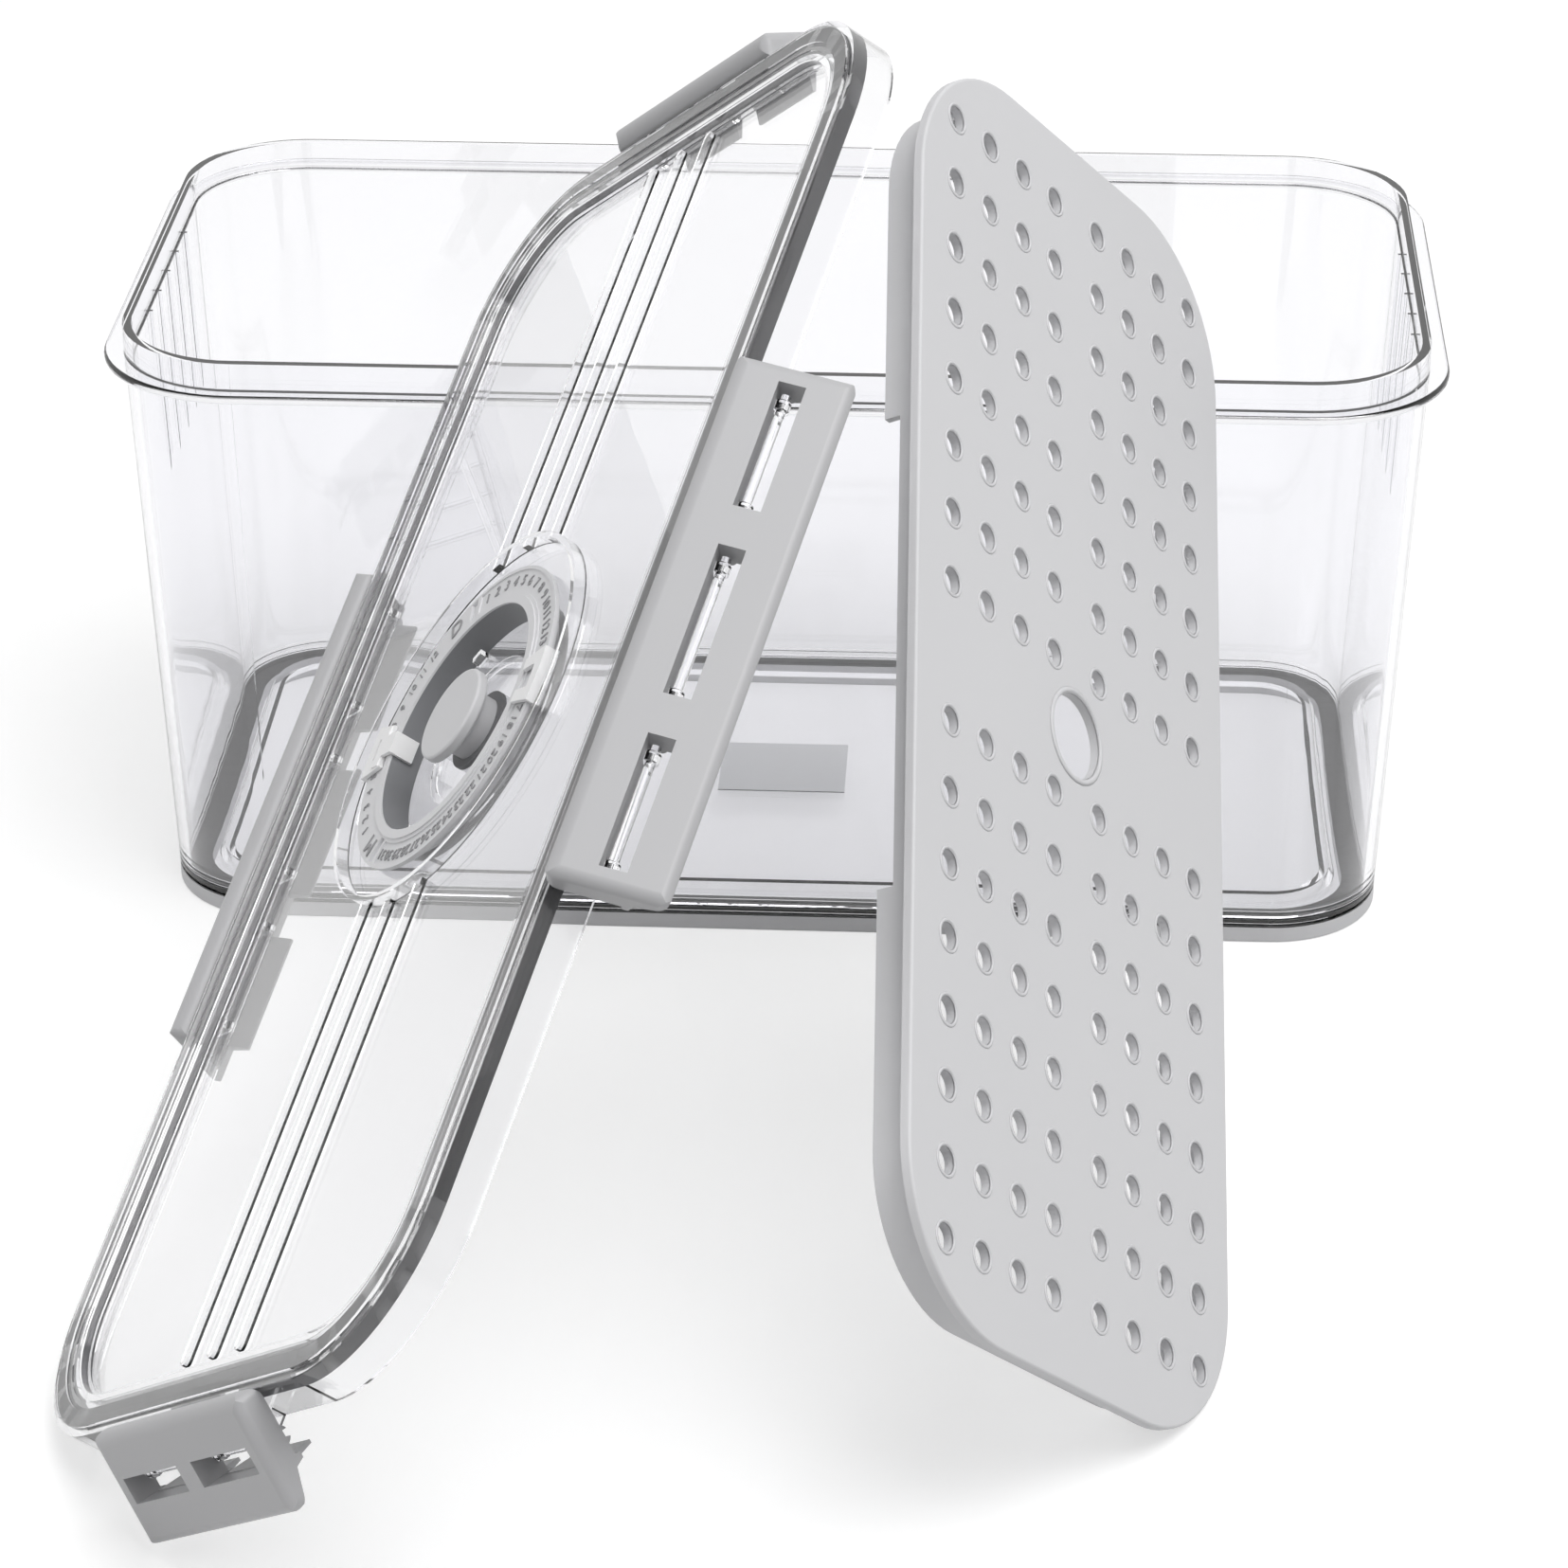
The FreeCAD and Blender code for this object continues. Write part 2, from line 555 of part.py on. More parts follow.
def make_latch(kind):
    length = LONG_LENGTH if kind == "long" else END_LENGTH
    windows = LONG_WINDOWS if kind == "long" else END_WINDOWS
    half = length / 2
    plate = latch_profile(length)
    face_y = LATCH_INNER + LATCH_THICK
    corner = LATCH_CORNER
    ends = slab(half, 2 * LATCH_THICK, corner, -LATCH_TIP - 1, LATCH_TOP + 1)
    ends.translate(vec(0, face_y - 2 * LATCH_THICK, 0))
    plate = plate.common(ends)
    outer = slab(half, (LATCH_TOP + LATCH_TIP) / 2, corner, -face_y - 1, 10)
    outer.rotate(vec(0, 0, 0), vec(1, 0, 0), 90)
    outer.translate(vec(0, 0, (LATCH_TOP - LATCH_TIP) / 2))
    plate = plate.common(outer)
    barrel = Part.makeCylinder(BARREL_RADIUS, length - 2.0, vec(-half + 1.0, 0, 0), vec(1, 0, 0))
    latch = plate.fuse(barrel)
    bore_half = half - ROD_INSET + LUG_CLEARANCE
    bore = Part.makeCylinder(ROD_RADIUS + ROD_CLEARANCE, 2 * bore_half, vec(-bore_half, 0, 0), vec(1, 0, 0))
    snap = block(-bore_half, bore_half, -5, 0, -SNAP_WIDTH / 2, SNAP_WIDTH / 2)
    latch = latch.cut(bore).cut(snap)
    hooks = []
    for middle, span in windows:
        x0 = middle - span / 2
        x1 = middle + span / 2
        latch = latch.cut(block(x0, x1, -5, face_y + 2, WINDOW_TOP - WINDOW_HEIGHT, WINDOW_TOP))
        for way in (-1, 1):
            x = middle + way * (span / 2 - LUG_INSET)
            side = LUG_THICK / 2 + LUG_CLEARANCE
            reach = LUG_RADIUS + LUG_CLEARANCE
            latch = latch.cut(block(x - side, x + side, -5, 0.4, -reach, 5.6))
            latch = latch.cut(Part.makeCylinder(reach, 2 * side, vec(x - side, 0, 0), vec(1, 0, 0)))
        hooks.append(hook(middle, span - 2.0))
    return latch.fuse(hooks).removeSplitter()


def place_latch(shape, angle, reach):
    """Swing a closed latch open and bring it to its side of the lid."""
    solid = shape.copy()
    solid.rotate(vec(0, 0, 0), vec(1, 0, 0), LATCH_OPEN)
    solid.translate(vec(0, reach + HINGE_OUT, -HINGE_DEPTH))
    solid.rotate(vec(0, 0, 0), vec(0, 0, 1), angle - 90)
    return solid


def make_tray_skirt():
    """Wall under the tray's face that follows its outline, with a shallower middle on the long sides."""
    hx = TRAY_LENGTH / 2 - TRAY_SKIRT_INSET
    hy = TRAY_WIDTH / 2 - TRAY_SKIRT_INSET
    r = TRAY_RADIUS - TRAY_SKIRT_INSET
    skirt = band(hx, hy, r, TRAY_SKIRT_THICK, -TRAY_SKIRT_DEPTH, -TRAY_THICK)
    half = TRAY_SHALLOW_HALF
    return skirt.cut(block(-half, half, -hy - 1, hy + 1, -TRAY_SKIRT_DEPTH - 1, -TRAY_SKIRT_SHALLOW))


def make_tray():
    """Face of the drain tray in its own frame: X towards its top end, Z out of the perforated face."""
    hx = TRAY_LENGTH / 2
    hy = TRAY_WIDTH / 2
    tray = slab(hx, hy, TRAY_RADIUS, -TRAY_THICK, 0)
    tray = round_edges(tray, TRAY_ROUND, lambda p, e: on_level(p, 0))
    holes = [Part.makeCylinder(FINGER_RADIUS, TRAY_THICK + 2, vec(0, 0, -TRAY_THICK - 1))]
    for row in range(1, HOLE_ROWS + 1):
        for column in range(HOLE_COLUMNS):
            y = HOLE_MIDDLE_GAP / 2 + column * HOLE_COLUMN_PITCH
            for sx in (-1, 1):
                for sy in (-1, 1):
                    spot = vec(sx * row * HOLE_ROW_PITCH, sy * y, -TRAY_THICK - 1)
                    holes.append(Part.makeCylinder(HOLE_RADIUS, TRAY_THICK + 2, spot))
    return tray.cut(Part.makeCompound(holes)).removeSplitter()


def upright(turn, lean, tilt):
    """Turn that stands a piece on its lower end, faces it to -Y, then turns, leans and tilts it."""
    stand = FreeCAD.Rotation(vec(0, 0, 1), vec(-1, 0, 0), vec(0, -1, 0), "XYZ")
    turned = FreeCAD.Rotation(vec(0, 0, 1), turn)
    leaned = FreeCAD.Rotation(vec(1, 0, 0), -lean)
    tilted = FreeCAD.Rotation(vec(0, 1, 0), tilt)
    return tilted.multiply(leaned.multiply(turned.multiply(stand)))


def box_envelope():
    """Plain outside of the box, for finding where a leaning piece rests."""
    wall = tapered(wall_at(FOOT_HEIGHT, 0), wall_at(FLANGE_UNDER, 0))
    flange = slab(HALF_LENGTH, HALF_WIDTH, FLANGE_RADIUS, FLANGE_UNDER, FLANGE_TOP)
    inset = COLLAR_INSET
    collar = slab(HALF_LENGTH - inset, HALF_WIDTH - inset, FLANGE_RADIUS - inset, FLANGE_TOP, BOX_HEIGHT)
    return Part.makeCompound([wall, flange, collar])


def settle(pieces, rotation, x):
    """Placement that stands the turned pieces on the floor and slides them back to the box."""
    group = Part.makeCompound([p.copy() for p in pieces])
    group.Placement = FreeCAD.Placement(vec(0, 0, 0), rotation)
    low = group.optimalBoundingBox(False, False).ZMin
    y = -HALF_WIDTH - START_AWAY
    z = FLOOR_CLEARANCE - low
    box = box_envelope()
    for n in range(40):
        group.Placement = FreeCAD.Placement(vec(x, y, z), rotation)
        distance = group.distToShape(box)[0]
        if distance < REST_GAP + 0.02:
            break
        y += distance - REST_GAP
    return FreeCAD.Placement(vec(x, y, z), rotation)


def lid_outside():
    """Plain solid of the lid's outside, for settling it."""
    return slab(LID_HALF_LENGTH, LID_HALF_WIDTH, LID_RADIUS, -LID_DEPTH, -RIM_STEP)


def main():
    os.makedirs("parts", exist_ok=True)
    nodes = {}
    nodes["container_body"] = make_container()
    nodes["foot_ring"] = make_foot_ring()
    lid_nodes = {
        "lid_shell": make_lid(),
        "lid_gasket": make_gasket(),
        "date_ring": make_date_ring(),
        "day_pointer": make_day_pointer(),
        "month_pointer": make_month_pointer(),
        "vent_knob": make_knob(),
        "vent_seal": make_seal(),
    }
    latches = {"long": make_latch("long"), "end": make_latch("end")}
    for name, (kind, angle, reach) in LATCH_SIDES.items():
        lid_nodes[name] = place_latch(latches[kind], angle, reach)
    outside = [lid_outside()] + [lid_nodes[name] for name in LATCH_SIDES]
    lid_place = settle(outside, upright(LID_TURN, LID_LEAN, LID_TILT), LID_X)
    for name, shape in lid_nodes.items():
        shape.Placement = lid_place.multiply(shape.Placement)
        nodes[name] = shape
    tray_nodes = {"drain_tray": make_tray(), "tray_skirt": make_tray_skirt()}
    tray_place = settle(list(tray_nodes.values()), upright(TRAY_TURN, TRAY_LEAN, TRAY_TILT), TRAY_X)
    for name, shape in tray_nodes.items():
        shape.Placement = tray_place
        nodes[name] = shape
    front = min(shape.optimalBoundingBox(False, False).YMin for shape in nodes.values())
    middle = FreeCAD.Placement(vec(0, -(front + HALF_WIDTH) / 2, 0), FreeCAD.Rotation())
    lid_place = middle.multiply(lid_place)
    tray_place = middle.multiply(tray_place)
    print("box centre", middle.Base.y, "floor of the well", WELL_FLOOR)
    for name, shape in nodes.items():
        shape.Placement = middle.multiply(shape.Placement)
        solid = shape.Solids[0] if len(shape.Solids) == 1 else shape
        solid.exportStep("parts/" + name + ".step")
        print(name, "solids", len(shape.Solids), "valid", shape.isValid(), "cm3", round(shape.Volume / 1000, 2))
    print("lid base", tuple(lid_place.Base), "turn", lid_place.Rotation.Q)
    print("tray base", tuple(tray_place.Base), "turn", tray_place.Rotation.Q)
    for name, (kind, angle, reach) in LATCH_SIDES.items():
        a = math.radians(angle)
        out = reach + HINGE_OUT
        pivot = lid_place.multVec(vec(out * math.cos(a), out * math.sin(a), -HINGE_DEPTH))
        axis = lid_place.Rotation.multVec(vec(math.sin(a), -math.cos(a), 0))
        print("hinge", name, tuple(pivot), tuple(axis))
    middle_of_dial = lid_place.multVec(vec(0, 0, TRACK_TOP))
    print("dial", tuple(middle_of_dial), tuple(lid_place.Rotation.multVec(vec(0, 0, 1))))


main()
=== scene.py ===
# %% [markdown]
# # A produce box with its lid and drain tray taken off
# This lesson dresses a clear storage box, its dated lid and its perforated tray. The shapes come
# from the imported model, so the work here is in plastics: how clear ones bend light, and how satin
# ones hold a soft shade. Lengths are in metres, and `mm` turns a drawing size into them.

# %% Load the shapes
import json
import math

import bpy
import numpy as np
from mathutils import Matrix, Vector


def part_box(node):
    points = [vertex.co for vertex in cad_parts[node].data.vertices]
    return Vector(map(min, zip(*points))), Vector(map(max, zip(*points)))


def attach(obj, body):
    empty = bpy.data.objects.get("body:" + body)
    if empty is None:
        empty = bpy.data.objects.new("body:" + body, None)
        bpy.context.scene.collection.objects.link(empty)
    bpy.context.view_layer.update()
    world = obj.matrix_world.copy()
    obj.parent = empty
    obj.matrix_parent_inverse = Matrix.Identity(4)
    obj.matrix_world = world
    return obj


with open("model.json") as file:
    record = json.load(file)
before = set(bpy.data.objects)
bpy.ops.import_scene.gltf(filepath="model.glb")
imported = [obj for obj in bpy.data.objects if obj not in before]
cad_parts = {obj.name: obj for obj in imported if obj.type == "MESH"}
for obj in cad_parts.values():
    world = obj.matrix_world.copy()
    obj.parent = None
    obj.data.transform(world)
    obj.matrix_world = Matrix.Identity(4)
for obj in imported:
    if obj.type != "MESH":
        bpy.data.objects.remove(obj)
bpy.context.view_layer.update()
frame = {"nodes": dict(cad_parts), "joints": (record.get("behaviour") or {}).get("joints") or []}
nodes = frame["nodes"]
print("pieces:", ", ".join(sorted(nodes)))


# %% Turn millimetres into metres
def mm(length):
    """A length in millimetres, as metres."""
    return length / 1000


# %% [markdown]
# ## Where the lid is
# The lid leans against the box, so its own directions are slanted in the room. They are read from
# its joints: the vent knob is pulled straight out of the lid's face, and the hinges of the two end
# latches lie at its top end and bottom end. The vent's joint is level with the face of the date
# ring, 1.2 mm below the top of the lid. Everything drawn on the lid is then placed with one matrix,
# as if the lid lay flat.

# %% Make one matrix from three directions
def own_frame(along, across, out, middle):
    """Matrix that sets a flat drawing at a piece's middle, along the piece's own directions."""
    made = Matrix((along, across, out)).transposed().to_4x4()
    made.translation = middle
    return made


# %% Find the lid's own directions
track_top = mm(-1.2)
joints = {joint["name"]: joint for joint in frame["joints"]}
top_end, bottom_end, vent = (Vector(joints[name]["pos_m"])
                             for name in ("top_latch_hinge", "bottom_latch_hinge", "vent_pull"))
lid_out = Vector(joints["vent_pull"]["axis"]).normalized()
lid_up = (top_end - bottom_end).normalized()
lid_side = lid_out.cross(lid_up)
lid_frame = own_frame(lid_up, lid_side, lid_out, vent - lid_out * track_top)
print("lid faces", [round(v, 2) for v in lid_out])


# %% [markdown]
# ## Colours and nodes
# Colours are picked as hex values, the way a designer reads them off a swatch. Blender mixes light
# in linear numbers, so one function turns each hex pair into linear. A second small function adds
# a node, sets its inputs and links them, which keeps each material short.

# %% Turn a hex colour into linear
def tone(code):
    """Linear colour of an sRGB hex code."""
    shares = [int(code[i:i + 2], 16) / 255 for i in (1, 3, 5)]
    linear = [s / 12.92 if s <= 0.04045 else ((s + 0.055) / 1.055) ** 2.4 for s in shares]
    return (*linear, 1.0)


white, black = tone("#FFFFFF"), tone("#000000")
print("mid grey, #808080, is", round(tone("#808080")[0], 3), "in linear light")


# %% Add nodes to a material
def put(tree, kind, inputs=None, **settings):
    """Add a node, with plain values and links for its inputs."""
    made = tree.nodes.new(kind)
    for name, value in settings.items():
        setattr(made, name, value)
    for socket, value in (inputs or {}).items():
        if isinstance(value, bpy.types.NodeSocket):
            tree.links.new(value, made.inputs[socket])
        else:
            made.inputs[socket].default_value = value
    return made


def start(name):
    """New material with an empty node tree, and the coordinates of its piece."""
    material = bpy.data.materials.new(name)
    material.use_nodes = True
    material.node_tree.nodes.clear()
    place = put(material.node_tree, "ShaderNodeTexCoord").outputs["Object"]
    return material, material.node_tree, place


def finish_material(tree, shader):
    """Link the last shader to the material's output."""
    put(tree, "ShaderNodeOutputMaterial", {"Surface": shader})


# %% [markdown]
# ## Satin plastics
# The tray, the latches, the foot ring and the dial's parts are moulded in ABS, a tough plastic that
# leaves a spark-eroded mould with a fine satin grain. To the eye that gives a soft shade with no
# clear reflection, and a surface that is never quite even. Two noises do this: a slow one that
# drifts between two close greys, as plastic does where it flowed through the mould, and a fine one
# for the grain. The grain is about 0.4 mm here, a bit coarser than the real one, so that it shows.

# %% Satin plastic
flow_size = mm(70)
grain_strength = 0.35
polish_drift = 0.04
abs_ior = 1.54


def satin_plastic(name, light, dark, roughness, grain_mm=0.4, depth_mm=0.01, gloss=0.5):
    """Opaque satin plastic that drifts between two close shades."""
    material, tree, place = start(name)
    flow = put(tree, "ShaderNodeTexNoise", {"Vector": place, "Scale": 1 / flow_size, "Detail": 2.0})
    shade = put(tree, "ShaderNodeMix", {
        "Factor": flow.outputs["Fac"], "A": tone(dark), "B": tone(light)}, data_type="RGBA")
    grain = put(tree, "ShaderNodeTexNoise", {
        "Vector": place, "Scale": 1 / mm(grain_mm), "Detail": 1.0})
    bump = put(tree, "ShaderNodeBump", {
        "Height": grain.outputs["Fac"], "Strength": grain_strength, "Distance": mm(depth_mm)})
    polish = put(tree, "ShaderNodeMapRange", {
        "Value": flow.outputs["Fac"],
        "To Min": roughness - polish_drift, "To Max": roughness + polish_drift})
    shader = put(tree, "ShaderNodeBsdfPrincipled", {
        "Base Color": shade.outputs["Result"], "Roughness": polish.outputs["Result"],
        "IOR": abs_ior, "Specular IOR Level": gloss, "Normal": bump.outputs["Normal"]})
    finish_material(tree, shader.outputs["BSDF"])
    return material


# %% Mix the ABS shades
tray_abs = satin_plastic("satin_abs_tray", "#D6D6D8", "#D1D1D3", 0.5)
# The latches are the same light-grey ABS as the tray; their darker grey is painted shade for faces
# that turn from the light.
latch_abs_painted_shade = satin_plastic("satin_abs_latch_painted_shade", "#B8B8BA", "#B2B2B4", 0.42)
foot_abs = satin_plastic("satin_abs_foot", "#D6D6D8", "#D0D0D2", 0.45)
ring_abs = satin_plastic("satin_abs_ring", "#DEDEE0", "#D8D8DA", 0.45)
knob_abs = satin_plastic("satin_abs_knob", "#D6D6D8", "#D0D0D2", 0.5)
clip_abs = satin_plastic("satin_abs_clip", "#F4F4F4", "#EFEFF0", 0.35)
print("shades of ABS:", ", ".join(
    shade.name for shade in (tray_abs, latch_abs_painted_shade, foot_abs, ring_abs, knob_abs, clip_abs)))

# %% [markdown]
# ## Seal rubber
# The seal in the lid's channel and the ring under the vent are silicone rubber, pressed in a hot
# mould. It is duller and darker than the ABS, with a faint bloom, so it gets a higher roughness and
# a stronger drift of shade. Silicone has a low index, about 1.41, and reflects less than ABS does,
# which the lower gloss stands for.

# %% Silicone rubber
seal_rubber = satin_plastic("silicone_seal", "#868688", "#78787A", 0.62,
                            grain_mm=0.6, depth_mm=0.02, gloss=0.35)
print("rubber:", seal_rubber.name)

# %% [markdown]
# ## Clear plastic
# The box and the lid are moulded in clear SAN, a glassy relative of polystyrene. It bends light more
# than water does, at an index of 1.57, and it has a cool grey cast where it is seen on edge. The
# solids have their real wall thickness, so a plain glass-like shader is enough: the rims, ribs and
# corners go dark by themselves, because they send the light away to the side. A very slow, very
# shallow bump stands for the slight waves that a moulded wall always has.

# %% Clear SAN
san_ior = 1.57
wave_size, wave_depth = mm(45), mm(0.03)
wave_strength = 0.4


def clear_san(name, tint, roughness=0.0, clearness=1.0):
    """Clear plastic for a solid wall, with slight waves in its surface."""
    material, tree, place = start(name)
    waves = put(tree, "ShaderNodeTexNoise", {"Vector": place, "Scale": 1 / wave_size, "Detail": 1.0})
    bump = put(tree, "ShaderNodeBump", {
        "Height": waves.outputs["Fac"], "Strength": wave_strength, "Distance": wave_depth})
    shader = put(tree, "ShaderNodeBsdfPrincipled", {
        "Base Color": tone(tint), "Roughness": roughness, "IOR": san_ior,
        "Transmission Weight": clearness, "Normal": bump.outputs["Normal"]})
    finish_material(tree, shader.outputs["BSDF"])
    return material


box_san = clear_san("clear_san_box", "#F6F6F8")
lid_san = clear_san("clear_san_lid", "#FAFAFB")
print("clear plastics:", box_san.name, lid_san.name)

# %% [markdown]
# ## Give each piece its plastic
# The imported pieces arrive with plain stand-in materials. Each is swapped for the plastic that the
# piece is made of.

# %% Dress the pieces
plastics = {
    "container_body": box_san,
    "lid_shell": lid_san,
    "foot_ring": foot_abs,
    "drain_tray": tray_abs,
    "tray_skirt": tray_abs,
    "lid_gasket": seal_rubber,
    "vent_seal": seal_rubber,
    "date_ring": ring_abs,
    "day_pointer": clip_abs,
    "month_pointer": clip_abs,
    "vent_knob": knob_abs,
    "latch_long_left": latch_abs_painted_shade,
    "latch_long_right": latch_abs_painted_shade,
    "latch_end_top": latch_abs_painted_shade,
    "latch_end_bottom": latch_abs_painted_shade,
}
for name, plastic in plastics.items():
    nodes[name].data.materials.clear()
    nodes[name].data.materials.append(plastic)
print("dressed", len(plastics), "pieces")


# %% [markdown]
# ## The numbers on the dial
# The date ring shows the days 1 to 31 clockwise round most of the ring and the months 1 to 12 round
# the rest, with D and M beside the two marks. They are moulded as low relief. Text objects are the
# easy way to such figures: each is set flat on the ring with its head outwards, then all of them are
# made into one mesh. A relief of 0.25 mm is enough to catch the light.

# %% Put an object in the scene
def add_object(name, data):
    """New object that shows this data."""
    made = bpy.data.objects.new(name, data)
    bpy.context.scene.collection.objects.link(made)
    return made


# %% Set one figure on the dial
relief = mm(0.25)
cap_share = 0.72
curve_steps = 3


def figure(text, angle, radius, height, floor):
    """One raised figure at a dial angle, clockwise from the lid's top end, head outwards."""
    curve = bpy.data.curves.new("figure_" + text, "FONT")
    curve.body = text
    curve.size = height / cap_share
    curve.align_x = "CENTER"
    curve.align_y = "CENTER"
    curve.extrude = relief / 2
    curve.resolution_u = curve_steps
    piece = add_object("figure_" + text, curve)
    turn = math.radians(-angle)
    middle = Vector((radius * math.cos(turn), radius * math.sin(turn), floor + relief / 2))
    head_out = Matrix.Rotation(turn - math.pi / 2, 4, "Z")
    piece.matrix_world = lid_frame @ Matrix.Translation(middle) @ head_out
    return piece


# %% Lay out the days
days = 31
day_first, day_last = -14.0, 200.0
day_radius, day_height = mm(34.1), mm(2.7)
scale_depth = mm(0.35)


def dial_angle(place, count, first, last):
    """Angle of one of the evenly spaced figures from first to last."""
    return first + (last - first) * (place - 1) / (count - 1)


figures = []
for day in range(1, days + 1):
    angle = dial_angle(day, days, day_first, day_last)
    figures.append(figure(str(day), angle, day_radius, day_height, track_top - scale_depth))
print("days:", len(figures))

# %% Lay out the months and the two letters
months = 12
month_first, month_last = 229.0, 311.0
month_radius, month_height = mm(34.6), mm(2.3)
letter_radius, letter_height = mm(34.1), mm(4.6)
letter_angles = {"D": -34, "M": 215}
for month in range(1, months + 1):
    angle = dial_angle(month, months, month_first, month_last)
    figures.append(figure(str(month), angle, month_radius, month_height, track_top))
for letter, angle in letter_angles.items():
    figures.append(figure(letter, angle, letter_radius, letter_height, track_top))
print("figures:", len(figures))

# %% Join the figures into one mesh
bpy.ops.object.select_all(action="DESELECT")
for piece in figures:
    piece.select_set(True)
bpy.context.view_layer.objects.active = figures[0]
bpy.ops.object.convert(target="MESH")
bpy.ops.object.join()
dial_figures = bpy.context.view_layer.objects.active
dial_figures.name = "dial_figures"
figure_abs = satin_plastic("satin_abs_figures", "#949496", "#8A8A8C", 0.45)
dial_figures.data.materials.clear()
dial_figures.data.materials.append(figure_abs)
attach(dial_figures, "base")
print("figure faces:", len(dial_figures.data.polygons))


# %% [markdown]
# ## A painted-shade liner in the dial's well
# Inside the date ring a dark grey liner stands round the well as painted shade, for the shaded cup
# the knob sits in.
# It is a plain tube, thin enough to leave room for the month pointer's tail. Such a ring is easiest
# as a small closed section that is repeated round a circle and joined by quads. The section runs up
# the outside and down the inside, so that every face looks outwards.

# %% Turn a section into a ring
def ring_points(section, steps, place, x=0.0, y=0.0):
    """The section's points at each step round (x, y), drawn flat and then set in place."""
    points = []
    for i in range(steps):
        turn = 2 * math.pi * i / steps
        across, up = math.cos(turn), math.sin(turn)
        points += [place @ Vector((x + r * across, y + r * up, z)) for r, z in section]
    return points


def ring_sides(first, steps, count):
    """Quads between neighbouring steps, for a closed section of so many points."""
    sides = []
    for i in range(steps):
        a, b = first + count * i, first + count * ((i + 1) % steps)
        sides += [(a + k, b + k, b + (k + 1) % count, a + (k + 1) % count) for k in range(count)]
    return sides


# %% Make the liner
liner_low, liner_high = mm(-8.2), mm(-1.3)
liner_outer, liner_inner = mm(28.18), mm(28.06)
liner_steps = 128
sharp_edge = math.radians(30)
liner_section = [(liner_outer, liner_low), (liner_outer, liner_high),
                 (liner_inner, liner_high), (liner_inner, liner_low)]
liner_mesh = bpy.data.meshes.new("well_shade_liner")
liner_mesh.from_pydata(ring_points(liner_section, liner_steps, lid_frame), [],
                       ring_sides(0, liner_steps, len(liner_section)))
liner_mesh.shade_smooth()
liner_mesh.set_sharp_from_angle(angle=sharp_edge)
# The liner's dark greys are painted shade on the well's wall.
liner_mesh.materials.append(satin_plastic("satin_abs_painted_shade_liner", "#86878A", "#7C7D80", 0.4))
well_shade_liner = add_object("well_shade_liner", liner_mesh)
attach(well_shade_liner, "base")
print("liner height in mm:", round((liner_high - liner_low) / mm(1), 1))

# %% [markdown]
# ## The tray's own directions
# The tray leans too. Its corners are spread most along its length, less across it and least through
# its thickness, so the three main directions of that spread are the tray's own axes. The middle is
# halfway between the ends along and across the tray, and level with its upper face.

# %% Find the tray's own directions
tray = nodes["drain_tray"]
tray_corners = np.array([tray.matrix_world @ v.co for v in tray.data.vertices])
from_middle = tray_corners - tray_corners.mean(axis=0)
spread, axes = np.linalg.eigh(np.cov(from_middle.T))
tray_long, tray_out = Vector(axes[:, 2]), Vector(axes[:, 0])
if tray_out.z < 0:
    tray_out = -tray_out
tray_side = tray_out.cross(tray_long)
print("spread through, across and along:", [round(math.sqrt(v), 4) for v in spread])


# %% Find the tray's middle
def reach(way):
    """Lowest and highest place of the tray's corners in one direction."""
    places = tray_corners @ np.array(way)
    return np.min(places), np.max(places)


(long_low, long_high), (side_low, side_high) = reach(tray_long), reach(tray_side)
face = reach(tray_out)[1]
tray_middle = (tray_long * ((long_low + long_high) / 2) + tray_side * ((side_low + side_high) / 2)
               + tray_out * face)
tray_frame = own_frame(tray_long, tray_side, tray_out, tray_middle)
print("tray length and width:", round(long_high - long_low, 4), round(side_high - side_low, 4))

# %% [markdown]
# ## Soft edges round the tray's holes
# A moulded hole has no knife edge: the face rises into a small rounded lip round it, which shows as
# a light line on one side and a dark one on the other. Each lip is a ring with a section of three
# points: the outer foot, the crest and the inner foot. The holes stand at the tray's own pitch, in
# four equal quarters, with the finger hole in the middle.

# %% Draw one lip
rim_steps = 28
outer_foot, inner_foot = mm(-0.05), mm(-0.3)
crest_share = 0.4
lip_points, lip_sides = [], []


def add_lip(x, y, inner, outer, height):
    """Add a lip round one hole to the points and quads of all the lips."""
    crest = inner + (outer - inner) * crest_share
    section = [(outer, outer_foot), (crest, height), (inner, inner_foot)]
    lip_sides.extend(ring_sides(len(lip_points), rim_steps, len(section)))
    lip_points.extend(ring_points(section, rim_steps, tray_frame, x, y))


# %% Set a lip round each hole
hole_rows, row_pitch = 8, mm(16.6)
hole_columns, column_pitch, middle_gap = 4, mm(14.2), mm(19.0)
hole_inner, hole_outer, hole_rise = mm(3.0), mm(3.95), mm(0.34)
finger_inner, finger_outer, finger_rise = mm(9.85), mm(11.6), mm(0.5)
spots = [(sx * row * row_pitch, sy * (middle_gap / 2 + column * column_pitch))
         for row in range(1, hole_rows + 1) for column in range(hole_columns)
         for sx in (-1, 1) for sy in (-1, 1)]
for x, y in spots:
    add_lip(x, y, hole_inner, hole_outer, hole_rise)
add_lip(0, 0, finger_inner, finger_outer, finger_rise)
lip_mesh = bpy.data.meshes.new("hole_lips")
lip_mesh.from_pydata(lip_points, [], lip_sides)
lip_mesh.shade_smooth()
lip_mesh.materials.append(tray_abs)
hole_lips = add_object("hole_lips", lip_mesh)
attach(hole_lips, "base")
print("lips:", len(spots) + 1)

# %% [markdown]
# ## The frosted patch on the box floor
# In the middle of the floor the mould has a small blasted rectangle, which comes out frosted in the
# clear plastic. It is the same SAN with a rough surface, so it is a thin plate over that place with
# the clear shader at a high roughness, and a share of plain scattering for the pits of the blasting.

